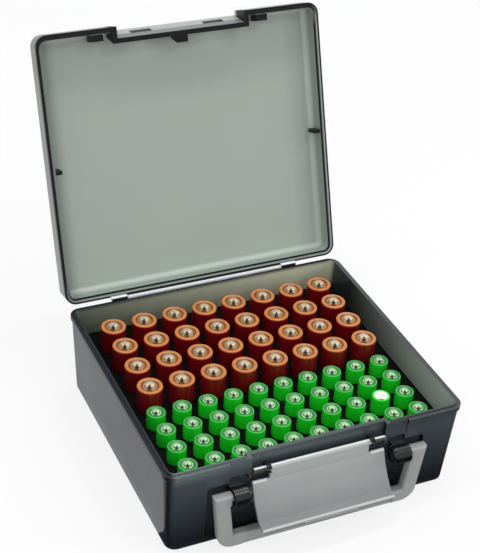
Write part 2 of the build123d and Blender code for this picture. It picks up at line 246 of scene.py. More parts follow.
# lid: its ribs, and the lines round its cut edge, all in painted shade
wall_slope = 0.06
past_wall = {1: 0, 2: 0.12}
rib_height = {1: lid_panel_inside - 2.2, 2: lid_panel_inside - 2.8}
rim_face = {1: lid_rim_face + 0.25, 2: lid_rim_face + 0.05}
thin_lines_off_middle = {1: 0.35, 2: 0.6}
broad_line_width = {1: -70, 2: -76, 3: 1.75, 4: 3.4}
broad_line_edge = {1: -0.1, 2: 0.1}
broad_line_height = {1: lid_rim_face + 1.6, 2: lid_rim_face + 1.3}
parting_slant = (1, 1.2, 0)
left_and_top = {1: 8, 2: -8}
# latch: its painted shade, and the painted highlights and shade on its shoulders, its rod and its lip
latch_upwards = {1: 18, 2: 42}
rod_ends = {1: rod_bare_from, 2: rod_bare_from + 0.2}
shoulder_height = {1: 36.6, 2: 36.9}
rod_height = {1: 42, 2: 42.4}
below_top_line_cosine = {1: 0.92, 2: 0.84}
top_line_cosine = {1: 0.88, 2: 0.95}
top_line_height = {1: 43.2, 2: 43.6}
lip_line = {1: 0.9, 2: 0.5, 4: 0.55}
# how much a face mirrors where it is glossy, and where it is dull
dulling = {3: 0.5, 4: 0.12}
# colours that more than one place takes: the painted glow of thin knuckles that let light through, and
# painted highlights along edges
painted_knuckle_glow = "#f2f5f8"
painted_highlight_line = "#dfe2de"
# rack: how rough it is where it is clean, and where dust lies
dusting = {3: 0.5, 4: 0.7}
# moulded pieces: how satin and gloss follow the flow, and where an edge is sharp enough to be worn paler
# and to take a painted highlight
flow_contrast = {1: 0.3, 2: 0.7}
sharp_edge_cosine = {1: 0.98, 2: 0.8}
# plate: how far the streaks of the strip are drawn out along it
strip_stretch = (0.15, 1.0, 1.0)
# terminals: the dark streak, a painted reflection, lies where the wall leans enough and heads about towards
# the camera
streak_heading = (-0.44, -0.9, 0)
leaning_enough = {1: 0.06, 2: 0.12, 4: 0.9}
streak_cosine = {1: 0.9, 2: 0.96}

# cloud, grain and wave sizes of the plastics, the plate and the film
tub_cloud = 45
lid_cloud = 60
latch_cloud = 26
handle_cloud = 30
flow_size = 38
scuff_size = 3
edge_round = 0.5
dust_size = 14
brushing_size = 0.5
film_pull_size = 6
film_wave = 0.06


# ---------------------------------------------------------------- working tools
def deselect_everything():
    """Leaves edit mode, and leaves nothing selected."""
    if bpy.context.object and bpy.context.object.mode != "OBJECT":
        bpy.ops.object.mode_set(mode="OBJECT")
    bpy.ops.object.select_all(action="DESELECT")


def join_as(name, pieces):
    """Joins copies into one piece, with its object at the origin."""
    deselect_everything()
    for piece in pieces:
        piece.select_set(True)
    bpy.context.view_layer.objects.active = pieces[0]
    bpy.ops.object.join()
    joined = bpy.context.object
    joined.name = name
    joined.data.name = name
    bpy.ops.object.transform_apply(location=True, rotation=True, scale=True)
    return joined


def copy_to(piece, place, turned):
    """A copy with its own mesh, stood at a place, the other end up if turned."""
    made = piece.copy()
    made.data = piece.data.copy()
    bpy.context.scene.collection.objects.link(made)
    made.matrix_world = Matrix.Translation(place)
    if turned:
        made.matrix_world = made.matrix_world @ Matrix.Rotation(math.pi, 4, "X")
    return made


def linear(hexcode):
    """The linear colour of an sRGB hex value."""
    parts = [int(hexcode[i : i + 2], 16) / 255 for i in (1, 3, 5)]
    return [p / 12.92 if p <= 0.04045 else ((p + 0.055) / 1.055) ** 2.4 for p in parts] + [1.0]


def add(tree, kind, inputs=None, **settings):
    """Adds one node with its settings, and its inputs set or linked, by name or by number."""
    made = tree.nodes.new(kind)
    for name, value in settings.items():
        setattr(made, name, value)
    for name, value in (inputs or {}).items():
        if isinstance(value, bpy.types.NodeSocket):
            tree.links.new(value, made.inputs[name])
        else:
            made.inputs[name].default_value = value
    return made


def start_material(name, **constants):
    """A material with its shader, the constants set on the shader's own sockets."""
    made = bpy.data.materials.new(name)
    made.use_nodes = True
    tree = made.node_tree
    tree.nodes.clear()
    values = {key.replace("_", " "): value for key, value in constants.items()}
    shader = add(tree, "ShaderNodeBsdfPrincipled", values)
    add(tree, "ShaderNodeOutputMaterial", {"Surface": shader.outputs["BSDF"]})
    return made, tree, shader


def per_metre(size_mm):
    """Noise scale for features of that size."""
    return 1 / (size_mm * MM)


def in_millimetres(tree, place):
    """A place in millimetres, whole and as its three coordinates."""
    scaled = add(tree, "ShaderNodeVectorMath", {0: place, "Scale": 1 / MM}, operation="SCALE")
    whole = scaled.outputs["Vector"]
    split = add(tree, "ShaderNodeSeparateXYZ", {"Vector": whole})
    return whole, split.outputs["X"], split.outputs["Y"], split.outputs["Z"]


# ---------------------------------------------------------------- moulded plastic
def moulded_finish(tree, shader, place, colour, roughness, grain_mm, relief_mm, edge_wear_and_highlight):
    """What every moulded piece shows: satin that varies where the melt flowed, a fine grain of the mould, and
    paler edges, partly wear from rubbing and partly a painted highlight along the edges."""
    flow = add(
        tree,
        "ShaderNodeTexNoise",
        {"Vector": place, "Scale": per_metre(flow_size), "Detail": 3.0, "Roughness": 0.5},
    )
    sheen = add(
        tree,
        "ShaderNodeMapRange",
        {"Value": flow.outputs["Fac"], **flow_contrast, 3: roughness - 0.04, 4: roughness + 0.05},
    )
    rounded = add(tree, "ShaderNodeBevel", {"Radius": edge_round * MM}, samples=4)
    facing = add(tree, "ShaderNodeNewGeometry").outputs["Normal"]
    together = add(
        tree,
        "ShaderNodeVectorMath",
        {0: rounded.outputs["Normal"], 1: facing},
        operation="DOT_PRODUCT",
    )
    scuffs = add(tree, "ShaderNodeTexNoise", {"Vector": place, "Scale": per_metre(scuff_size), "Detail": 3.0})
    # paler edges: partly wear, partly a painted highlight where an edge catches the light
    edge = add(
        tree,
        "ShaderNodeMapRange",
        {"Value": together.outputs["Value"], **sharp_edge_cosine, 4: edge_wear_and_highlight},
    )
    worn_and_lit_mask = add(
        tree,
        "ShaderNodeMath",
        {0: edge.outputs["Result"], 1: scuffs.outputs["Fac"]},
        operation="MULTIPLY",
    )
    worn_and_lit_colour = add(
        tree,
        "ShaderNodeMix",
        {"Factor": worn_and_lit_mask.outputs["Value"], "A": colour, "B": linear("#dfe2e0")},
        data_type="RGBA",
    )
    tree.links.new(worn_and_lit_colour.outputs["Result"], shader.inputs["Base Color"])
    duller = add(
        tree,
        "ShaderNodeMath",
        {0: worn_and_lit_mask.outputs["Value"], 1: 0.5, 2: sheen.outputs["Result"]},
        operation="MULTIPLY_ADD",
    )
    tree.links.new(duller.outputs["Value"], shader.inputs["Roughness"])
    grain = add(tree, "ShaderNodeTexNoise", {"Vector": place, "Scale": per_metre(grain_mm), "Detail": 2.0})
    relief = add(
        tree,
        "ShaderNodeBump",
        {"Height": grain.outputs["Fac"], "Distance": relief_mm * MM, "Strength": 0.5},
    )
    tree.links.new(relief.outputs["Normal"], shader.inputs["Normal"])


def mottled(tree, place, colour, deep_colour, size_mm):
    """The tint of a clouded plastic, lighter and deeper in patches."""
    cloud = add(
        tree,
        "ShaderNodeTexNoise",
        {"Vector": place, "Scale": per_metre(size_mm), "Detail": 2.0, "Roughness": 0.45},
    )
    tint = add(
        tree,
        "ShaderNodeMix",
        {"Factor": cloud.outputs["Fac"], "A": linear(deep_colour), "B": linear(colour)},
        data_type="RGBA",
    )
    return tint.outputs["Result"]


def in_from_rim(tree, whole):
    """Millimetres in from the outline of the rim, seen from above the shut case."""
    corner = (rim_half_width - rim_corner_radius, rim_half_depth - rim_corner_radius, 0)
    quarter = add(tree, "ShaderNodeVectorMath", {0: whole}, operation="ABSOLUTE")
    flat = add(
        tree,
        "ShaderNodeVectorMath",
        {0: quarter.outputs["Vector"], 1: (1, 1, 0)},
        operation="MULTIPLY",
    )
    past = add(tree, "ShaderNodeVectorMath", {0: flat.outputs["Vector"], 1: corner}, operation="SUBTRACT")
    kept = add(tree, "ShaderNodeVectorMath", {0: past.outputs["Vector"], 1: (0, 0, 0)}, operation="MAXIMUM")
    out = add(tree, "ShaderNodeVectorMath", {0: kept.outputs["Vector"]}, operation="LENGTH")
    depth = add(tree, "ShaderNodeMath", {0: rim_corner_radius, 1: out.outputs["Value"]}, operation="SUBTRACT")
    return depth.outputs["Value"]


def tub_outside(tree, place, x, z, rightwards):
    """The tub from outside: near black with a sheen. Painted shade makes it darkest low down, where the black
    rack stands behind the wall, and on the right; painted light makes it palest at the rim; the left wall has
    a painted shade of its own. Gives the colour, and the mask of the left wall."""
    # painted light at the rim, where light comes through the wall, going to painted shade on the right
    rim = add(
        tree,
        "ShaderNodeMix",
        {
            "Factor": rightwards,
            "A": mottled(tree, place, "#606c6d", "#566162", tub_cloud),
            "B": linear("#3a4044"),
        },
        data_type="RGBA",
    )
    # painted shade low down on the wall
    low = add(tree, "ShaderNodeMapRange", {"Value": z, **tub_downwards})
    below_rim = add(
        tree,
        "ShaderNodeMix",
        {
            "Factor": low.outputs["Result"],
            "A": mottled(tree, place, "#454c53", "#3c4349", tub_cloud),
            "B": linear("#191d22"),
        },
        data_type="RGBA",
    )
    at_rim = add(tree, "ShaderNodeMapRange", {"Value": z, **tub_rim_band})
    front_wall = add(
        tree,
        "ShaderNodeMix",
        {"Factor": at_rim.outputs["Result"], "A": below_rim.outputs["Result"], "B": rim.outputs["Result"]},
        data_type="RGBA",
    )
    # painted shade on the left wall
    at_left = add(tree, "ShaderNodeMapRange", {"Value": x, **tub_left_wall}).outputs["Result"]
    outside = add(
        tree,
        "ShaderNodeMix",
        {"Factor": at_left, "A": front_wall.outputs["Result"], "B": linear("#25292f")},
        data_type="RGBA",
    )
    return outside.outputs["Result"], at_left


def tub_inside(tree, place, y, rightwards, backlit):
    """The tub from inside, in painted light from what comes through: olive grey on the wall at the back,
    where most light comes through from behind, paler to the right, and darker towards the back on the
    walls at the sides."""
    behind = add(
        tree,
        "ShaderNodeMix",
        {
            "Factor": rightwards,
            "A": mottled(tree, place, "#737d6c", "#6a7363", tub_cloud),
            "B": linear("#cfd3b8"),
        },
        data_type="RGBA",
    )
    backwards = add(tree, "ShaderNodeMapRange", {"Value": y, **tub_backwards})
    beside = add(
        tree,
        "ShaderNodeMix",
        {"Factor": backwards.outputs["Result"], "A": linear("#a2a8a2"), "B": linear("#282d2a")},
        data_type="RGBA",
    )
    inside = add(
        tree,
        "ShaderNodeMix",
        {"Factor": backlit, "A": beside.outputs["Result"], "B": behind.outputs["Result"]},
        data_type="RGBA",
    )
    return inside.outputs["Result"]


def inside_of_tub(tree, whole, sideways, y, facing, backlit):
    """Mask of the faces that look to the middle of the tub and take its painted light, but for the sides of
    the notch and the recess, which are outside although they look there too."""
    flat = add(tree, "ShaderNodeVectorMath", {0: whole, 1: (1, 1, 0)}, operation="MULTIPLY")
    outward = add(
        tree,
        "ShaderNodeVectorMath",
        {0: facing, 1: flat.outputs["Vector"]},
        operation="DOT_PRODUCT",
    )
    past_recess = add(tree, "ShaderNodeMapRange", {"Value": sideways, **past_recess_end})
    or_facing_back = add(
        tree,
        "ShaderNodeMapRange",
        {"Value": backlit, **facing_back_cosine, 3: past_recess.outputs["Result"]},
    )
    or_behind_recess = add(
        tree,
        "ShaderNodeMapRange",
        {"Value": y, **behind_recess_wall, 3: or_facing_back.outputs["Result"]},
    )
    within = add(
        tree,
        "ShaderNodeMapRange",
        {"Value": outward.outputs["Value"], **facing_middle, 4: or_behind_recess.outputs["Result"]},
    )
    return within.outputs["Result"]


def painted_shade_of_tub(tree, sideways, y, z, facing):
    """Mask of painted shade: the sides of the notch and the recess that face left, the step of the back rim
    under the hinge, in its shadow, and the two clips that hold the latch's rod."""
    in_recess = add(tree, "ShaderNodeMapRange", {"Value": y, **before_recess_wall})
    leftward = add(tree, "ShaderNodeVectorMath", {0: facing, 1: (-1, 0, 0)}, operation="DOT_PRODUCT")
    cheek = add(
        tree,
        "ShaderNodeMapRange",
        {"Value": leftward.outputs["Value"], **facing_left_cosine, 4: in_recess.outputs["Result"]},
    )
    at_back = add(tree, "ShaderNodeMapRange", {"Value": y, **back_rim})
    back_step = add(
        tree,
        "ShaderNodeMapRange",
        {"Value": z, **back_rim_step, 4: at_back.outputs["Result"]},
    )
    cheek_or_step = add(
        tree,
        "ShaderNodeMath",
        {0: cheek.outputs["Result"], 1: back_step.outputs["Result"]},
        operation="MAXIMUM",
    )
    from_clip = add(tree, "ShaderNodeMath", {0: sideways, 1: clip_place}, operation="SUBTRACT")
    off_clip = add(tree, "ShaderNodeMath", {0: from_clip.outputs["Value"]}, operation="ABSOLUTE")
    off_wall = add(tree, "ShaderNodeMapRange", {"Value": y, **clip_before_wall})
    above_recess = add(
        tree,
        "ShaderNodeMapRange",
        {"Value": z, **clip_above_recess, 4: off_wall.outputs["Result"]},
    )
    clip = add(
        tree,
        "ShaderNodeMapRange",
        {"Value": off_clip.outputs["Value"], **clip_sides, 4: above_recess.outputs["Result"]},
    )
    dark = add(
        tree,
        "ShaderNodeMath",
        {0: cheek_or_step.outputs["Value"], 1: clip.outputs["Result"]},
        operation="MAXIMUM",
    )
    return dark.outputs["Value"]


def dark_smoke_polypropylene():
    """Dark smoke-tinted tub, near black outside, and olive grey inside in painted light for what comes
    through from behind, with painted shade in some places. The bosses are polished, and the thin knuckles
    are painted near white, a painted glow for the most light they let through."""
    made, tree, shader = start_material(
        "polypropylene_dark_smoke_moulded",
        Transmission_Weight=0.1,
        IOR=1.49,
    )
    coordinates = add(tree, "ShaderNodeTexCoord")
    place = coordinates.outputs["Object"]
    facing = coordinates.outputs["Normal"]
    whole, x, y, z = in_millimetres(tree, place)
    sideways = add(tree, "ShaderNodeMath", {0: x}, operation="ABSOLUTE").outputs["Value"]
    rightwards = add(tree, "ShaderNodeMapRange", {"Value": x, **tub_rightwards}).outputs["Result"]
    facing_front = add(tree, "ShaderNodeVectorMath", {0: facing, 1: (0, -1, 0)}, operation="DOT_PRODUCT")
    backlit = facing_front.outputs["Value"]
    outside, at_left = tub_outside(tree, place, x, z, rightwards)
    # painted light on the inside of the tub, laid over the outside
    walls = add(
        tree,
        "ShaderNodeMix",
        {
            "Factor": inside_of_tub(tree, whole, sideways, y, facing, backlit),
            "A": outside,
            "B": tub_inside(tree, place, y, rightwards, backlit),
        },
        data_type="RGBA",
    )
    dark = painted_shade_of_tub(tree, sideways, y, z, facing)
    # painted shade laid over the walls
    darkened = add(
        tree,
        "ShaderNodeMix",
        {"Factor": dark, "A": walls.outputs["Result"], "B": linear("#171c1d")},
        data_type="RGBA",
    )
    # the thin knuckles painted near white: a painted glow for the light they let through
    knuckle = add(tree, "ShaderNodeMapRange", {"Value": y, **tub_knuckles})
    with_knuckles = add(
        tree,
        "ShaderNodeMix",
        {"Factor": knuckle.outputs["Result"], "A": darkened.outputs["Result"], "B": linear(painted_knuckle_glow)},
        data_type="RGBA",
    )
    in_front = add(tree, "ShaderNodeMapRange", {"Value": y, **boss_before_rim})
    boss = add(
        tree,
        "ShaderNodeMapRange",
        {"Value": z, **boss_height, 4: in_front.outputs["Result"]},
    )
    colour = add(
        tree,
        "ShaderNodeMix",
        {"Factor": boss.outputs["Result"], "A": with_knuckles.outputs["Result"], "B": linear("#0a0f10")},
        data_type="RGBA",
    )
    moulded_finish(
        tree,
        shader,
        place,
        colour.outputs["Result"],
        roughness=0.24,
        grain_mm=0.7,
        relief_mm=0.002,
        edge_wear_and_highlight=0.12,
    )
    satin = shader.inputs["Roughness"].links[0].from_socket
    polished = add(
        tree,
        "ShaderNodeMix",
        {"Factor": boss.outputs["Result"], "A": satin, "B": boss_roughness},
    )
    tree.links.new(polished.outputs["Result"], shader.inputs["Roughness"])
    dull = add(tree, "ShaderNodeMath", {0: dark, 1: at_left}, operation="MAXIMUM")
    mirrored = add(tree, "ShaderNodeMapRange", {"Value": dull.outputs["Value"], **dulling})
    tree.links.new(mirrored.outputs["Result"], shader.inputs["Specular IOR Level"])
    return made


def lid_walls(tree, place, x, y, height, depth):
    """The lid's clouded walls and panel, in painted light and shade: darker and warmer towards the free edge,
    painted shade on the left wall, and a painted highlight in the fillet between the walls and the panel."""
    # painted shade towards the free edge
    to_hinge = add(tree, "ShaderNodeMapRange", {"Value": y, **lid_towards_hinge})
    body = add(
        tree,
        "ShaderNodeMix",
        {
            "Factor": to_hinge.outputs["Result"],
            "A": mottled(tree, place, "#90978f", "#878d86", lid_cloud),
            "B": mottled(tree, place, "#9fada2", "#98a69c", lid_cloud),
        },
        data_type="RGBA",
    )
    # painted shade on the left wall
    leftwards = add(tree, "ShaderNodeMapRange", {"Value": x, **lid_left_wall})
    shaded = add(
        tree,
        "ShaderNodeMix",
        {"Factor": leftwards.outputs["Result"], "A": body.outputs["Result"], "B": linear("#5b665f")},
        data_type="RGBA",
    )
    # a painted highlight in the fillet round the panel
    off_left = add(tree, "ShaderNodeMapRange", {"Value": x, **lid_off_left_wall})
    near_panel = add(
        tree,
        "ShaderNodeMapRange",
        {"Value": height, **fillet_height, 4: off_left.outputs["Result"]},
    )
    fillet = add(
        tree,
        "ShaderNodeMapRange",
        {"Value": depth, **fillet_depth, 4: near_panel.outputs["Result"]},
    )
    walls = add(
        tree,
        "ShaderNodeMix",
        {"Factor": fillet.outputs["Result"], "A": shaded.outputs["Result"], "B": linear("#dfe6df")},
        data_type="RGBA",
    )
    return walls.outputs["Result"]


def with_pocket(tree, colour, sideways, height, depth, at_free_edge):
    """A colour with the pocket for the latch laid over it, in painted light above and painted shade below.
    Gives the mask too.
    """
    between_cheeks = add(
        tree,
        "ShaderNodeMapRange",
        {"Value": sideways, **pocket_width, 4: at_free_edge},
    )
    before_back = add(
        tree,
        "ShaderNodeMapRange",
        {"Value": depth, **pocket_back, 4: between_cheeks.outputs["Result"]},
    )
    pocket = add(
        tree,
        "ShaderNodeMapRange",
        {"Value": depth, **pocket_front, 4: before_back.outputs["Result"]},
    )
    # painted light above, painted shade below
    low = add(tree, "ShaderNodeMapRange", {"Value": height, **pocket_low})
    tint = add(
        tree,
        "ShaderNodeMix",
        {"Factor": low.outputs["Result"], "A": linear("#b0b5af"), "B": linear("#7b807f")},
        data_type="RGBA",
    )
    laid = add(
        tree,
        "ShaderNodeMix",
        {"Factor": pocket.outputs["Result"], "A": colour, "B": tint.outputs["Result"]},
        data_type="RGBA",
    )
    return laid.outputs["Result"], pocket.outputs["Result"]


def with_slot_walls(tree, colour, sideways, height, at_free_edge):
    """A colour with the walls of the two slots laid over it, which show as dark dashes of painted shade."""
    from_slot = add(tree, "ShaderNodeMath", {0: sideways, 1: slot_spacing / 2}, operation="SUBTRACT")
    off_slot = add(tree, "ShaderNodeMath", {0: from_slot.outputs["Value"]}, operation="ABSOLUTE")
    between_ends = add(
        tree,
        "ShaderNodeMapRange",
        {"Value": off_slot.outputs["Value"], **slot_ends, 4: at_free_edge},
    )
    above_slot = add(tree, "ShaderNodeMath", {0: height, 1: slot_middle}, operation="SUBTRACT")
    off_middle = add(tree, "ShaderNodeMath", {0: above_slot.outputs["Value"]}, operation="ABSOLUTE")
    slot_walls = add(
        tree,
        "ShaderNodeMapRange",
        {"Value": off_middle.outputs["Value"], **slot_edges, 4: between_ends.outputs["Result"]},
    )
    laid = add(
        tree,
        "ShaderNodeMix",
        {"Factor": slot_walls.outputs["Result"], "A": colour, "B": linear("#535852")},
        data_type="RGBA",
    )
    return laid.outputs["Result"]


def lines_of_cut_edge(tree, whole, y, height, depth):
    """Mask of the painted shade in dark lines round the lid's cut edge: one broad line on the left and along
    the top, and two thin ones on the right and at the hinge, near either face of the wall."""
    at_rim = add(tree, "ShaderNodeMapRange", {"Value": height, **rim_face})
    from_middle = add(tree, "ShaderNodeMath", {0: depth, 1: lid_wall / 2}, operation="SUBTRACT")
    off_middle = add(tree, "ShaderNodeMath", {0: from_middle.outputs["Value"]}, operation="ABSOLUTE")
    thin_lines = add(
        tree,
        "ShaderNodeMapRange",
        {"Value": off_middle.outputs["Value"], **thin_lines_off_middle, 4: at_rim.outputs["Result"]},
    )
    # the broad line of painted shade also darkens the lowest part of the wall
    width = add(tree, "ShaderNodeMapRange", {"Value": y, **broad_line_width})
    short_of_width = add(
        tree,
        "ShaderNodeMath",
        {0: width.outputs["Result"], 1: depth},
        operation="SUBTRACT",
    )
    within_line = add(
        tree,
        "ShaderNodeMapRange",
        {"Value": short_of_width.outputs["Value"], **broad_line_edge},
    )
    broad_line = add(
        tree,
        "ShaderNodeMapRange",
        {"Value": height, **broad_line_height, 4: within_line.outputs["Result"]},
    )
    # a slanted line across the lid parts the left and the top from the right and the hinge
    slanted = add(tree, "ShaderNodeVectorMath", {0: whole, 1: parting_slant}, operation="DOT_PRODUCT")
    on_left_or_top = add(tree, "ShaderNodeMapRange", {"Value": slanted.outputs["Value"], **left_and_top})
    lines = add(
        tree,
        "ShaderNodeMix",
        {
            "Factor": on_left_or_top.outputs["Result"],
            "A": thin_lines.outputs["Result"],
            "B": broad_line.outputs["Result"],
        },
    )
    return lines.outputs["Result"]


def ribs_and_cheeks(tree, sideways, height, depth, pocket, at_free_edge):
    """Mask of the painted shade on the ribs inside the lid and on the pocket's two cheeks."""
    off_wall = add(
        tree,
        "ShaderNodeMath",
        {0: height, 1: -wall_slope, 2: depth},
        operation="MULTIPLY_ADD",
    )
    inward = add(tree, "ShaderNodeMapRange", {"Value": off_wall.outputs["Value"], **past_wall})
    below_panel = add(
        tree,
        "ShaderNodeMapRange",
        {"Value": height, **rib_height, 4: inward.outputs["Result"]},
    )
    ribs = add(
        tree,
        "ShaderNodeMath",
        {0: below_panel.outputs["Result"], 1: pocket},
        operation="SUBTRACT",
    )
    from_cheek = add(tree, "ShaderNodeMath", {0: sideways, 1: pocket_cheek}, operation="SUBTRACT")
    off_cheek = add(tree, "ShaderNodeMath", {0: from_cheek.outputs["Value"]}, operation="ABSOLUTE")
    cheek = add(
        tree,
        "ShaderNodeMapRange",
        {"Value": off_cheek.outputs["Value"], **cheek_width, 4: at_free_edge},
    )
    cheek_inside = add(
        tree,
        "ShaderNodeMapRange",
        {"Value": height, **cheek_height, 4: cheek.outputs["Result"]},
    )
    both = add(
        tree,
        "ShaderNodeMath",
        {0: ribs.outputs["Value"], 1: cheek_inside.outputs["Result"]},
        operation="MAXIMUM",
    )
    return both.outputs["Value"]


def light_smoke_polypropylene():
    """Light smoke lid, clouded and let through by light. Its cut edges and ribs are matt and in painted
    shade, for light that runs along inside the wall leaves there. The thin knuckles are painted near white, a
    painted glow for the most light they let through."""
    made, tree, shader = start_material(
        "polypropylene_light_smoke_moulded",
        Transmission_Weight=0.25,
        IOR=1.49,
    )
    place = add(tree, "ShaderNodeTexCoord").outputs["Object"]
    # the looks follow the lid as it lies when it is shut, so the place is turned about the hinge first
    turn = Matrix.Rotation(lid_open, 3, "X")
    shut = add(
        tree,
        "ShaderNodeMapping",
        {"Vector": place, "Rotation": (lid_open, 0, 0), "Location": hinge - turn @ hinge},
    ).outputs["Vector"]
    whole, x, y, height = in_millimetres(tree, shut)
    depth = in_from_rim(tree, whole)
    sideways = add(tree, "ShaderNodeMath", {0: x}, operation="ABSOLUTE").outputs["Value"]
    at_free_edge = add(tree, "ShaderNodeMapRange", {"Value": y, **lid_free_edge}).outputs["Result"]
    walls = lid_walls(tree, place, x, y, height, depth)
    pocketed, pocket = with_pocket(tree, walls, sideways, height, depth, at_free_edge)
    slotted = with_slot_walls(tree, pocketed, sideways, height, at_free_edge)
    dark = add(
        tree,
        "ShaderNodeMath",
        {
            0: ribs_and_cheeks(tree, sideways, height, depth, pocket, at_free_edge),
            1: lines_of_cut_edge(tree, whole, y, height, depth),
        },
        operation="MAXIMUM",
    )
    # painted shade on the ribs, the cheeks and the cut edge
    lined = add(
        tree,
        "ShaderNodeMix",
        {"Factor": dark.outputs["Value"], "A": slotted, "B": linear("#080b0c")},
        data_type="RGBA",
    )
    # the thin knuckles painted near white: a painted glow for the light they let through
    knuckle = add(tree, "ShaderNodeMapRange", {"Value": depth, **lid_knuckles})
    colour = add(
        tree,
        "ShaderNodeMix",
        {"Factor": knuckle.outputs["Result"], "A": lined.outputs["Result"], "B": linear(painted_knuckle_glow)},
        data_type="RGBA",
    )
    mirrored = add(tree, "ShaderNodeMapRange", {"Value": dark.outputs["Value"], **dulling})
    tree.links.new(mirrored.outputs["Result"], shader.inputs["Specular IOR Level"])
    moulded_finish(
        tree,
        shader,
        place,
        colour.outputs["Result"],
        roughness=0.34,
        grain_mm=0.9,
        relief_mm=0.012,
        edge_wear_and_highlight=0.05,
    )
    return made


def latch_polypropylene():
    """Pale grey latch, thin enough to let some light through, with painted shade towards its foot, paler
    towards the top, and painted highlights on its rod, its shoulders, its lip and its edges, where the
    light collects."""
    made, tree, shader = start_material(
        "polypropylene_latch_grey_moulded",
        Transmission_Weight=0.12,
        IOR=1.49,
    )
    coordinates = add(tree, "ShaderNodeTexCoord")
    place = coordinates.outputs["Object"]
    _, x, y, height = in_millimetres(tree, place)
    facing_up = add(tree, "ShaderNodeSeparateXYZ", {"Vector": coordinates.outputs["Normal"]}).outputs["Z"]
    # painted shade towards the plate's foot, painted light towards its top
    upwards = add(tree, "ShaderNodeMapRange", {"Value": height, **latch_upwards})
    plate = add(
        tree,
        "ShaderNodeMix",
        {
            "Factor": upwards.outputs["Result"],
            "A": mottled(tree, place, "#828584", "#787b7a", latch_cloud),
            "B": mottled(tree, place, "#b6bbb9", "#a8adac", latch_cloud),
        },
        data_type="RGBA",
    )
    # a painted highlight along the plate's two shoulders, under the rod's bare ends
    sideways = add(tree, "ShaderNodeMath", {0: x}, operation="ABSOLUTE")
    at_ends = add(
        tree,
        "ShaderNodeMapRange",
        {"Value": sideways.outputs["Value"], **rod_ends},
    ).outputs["Result"]
    shoulder = add(tree, "ShaderNodeMapRange", {"Value": height, **shoulder_height, 4: at_ends})
    with_shoulders = add(
        tree,
        "ShaderNodeMix",
        {"Factor": shoulder.outputs["Result"], "A": plate.outputs["Result"], "B": linear(painted_highlight_line)},
        data_type="RGBA",
    )
    # painted shade on the bare ends themselves, under the painted highlight along the rod's top
    under_line = add(tree, "ShaderNodeMapRange", {"Value": facing_up, **below_top_line_cosine, 4: at_ends})
    bare_rod = add(
        tree,
        "ShaderNodeMapRange",
        {"Value": height, **rod_height, 4: under_line.outputs["Result"]},
    )
    with_rod = add(
        tree,
        "ShaderNodeMix",
        {"Factor": bare_rod.outputs["Result"], "A": with_shoulders.outputs["Result"], "B": linear("#3a3a30")},
        data_type="RGBA",
    )
    # a painted highlight along the rod's top
    on_top = add(tree, "ShaderNodeMapRange", {"Value": facing_up, **top_line_cosine})
    top_line = add(
        tree,
        "ShaderNodeMapRange",
        {"Value": height, **top_line_height, 4: on_top.outputs["Result"]},
    )
    with_top_line = add(
        tree,
        "ShaderNodeMix",
        {"Factor": top_line.outputs["Result"], "A": with_rod.outputs["Result"], "B": linear("#e9ecea")},
        data_type="RGBA",
    )
    # and a painted highlight along the lip
    from_lip = add(tree, "ShaderNodeMath", {0: y, 1: lip_out}, operation="ADD")
    off_lip = add(tree, "ShaderNodeMath", {0: from_lip.outputs["Value"]}, operation="ABSOLUTE")
    lip = add(tree, "ShaderNodeMapRange", {"Value": off_lip.outputs["Value"], **lip_line})
    colour = add(
        tree,
        "ShaderNodeMix",
        {"Factor": lip.outputs["Result"], "A": with_top_line.outputs["Result"], "B": linear(painted_highlight_line)},
        data_type="RGBA",
    )
    moulded_finish(
        tree,
        shader,
        place,
        colour.outputs["Result"],
        roughness=0.33,
        grain_mm=0.8,
        relief_mm=0.012,
        edge_wear_and_highlight=1.2,
    )
    return made


def handle_polypropylene():
    """Grey handle: satin, a little cloudy, and paler on the edges: partly worn by hands, partly a painted
    highlight.
    """
    made, tree, shader = start_material(
        "polypropylene_handle_grey_moulded",
        Transmission_Weight=0.04,
        IOR=1.49,
    )
    place = add(tree, "ShaderNodeTexCoord").outputs["Object"]
    tint = mottled(tree, place, "#9c9e9d", "#919392", handle_cloud)
    moulded_finish(tree, shader, place, tint, roughness=0.36, grain_mm=0.8, relief_mm=0.012, edge_wear_and_highlight=0.5)
    return made


def black_polystyrene():
    """Vacuum-formed black polystyrene: matt, with a thin grey film of dust in patches."""
    made, tree, shader = start_material("polystyrene_black_formed", IOR=1.5, Specular_IOR_Level=0.1)
    place = add(tree, "ShaderNodeTexCoord").outputs["Object"]
    dust = add(tree, "ShaderNodeTexNoise", {"Vector": place, "Scale": per_metre(dust_size), "Detail": 3.0})
    colour = add(
        tree,
        "ShaderNodeMix",
        {"Factor": dust.outputs["Fac"], "A": linear("#020202"), "B": linear("#070808")},
        data_type="RGBA",
    )
    tree.links.new(colour.outputs["Result"], shader.inputs["Base Color"])
    satin = add(tree, "ShaderNodeMapRange", {"Value": dust.outputs["Fac"], **dusting})
    tree.links.new(satin.outputs["Result"], shader.inputs["Roughness"])
    return made


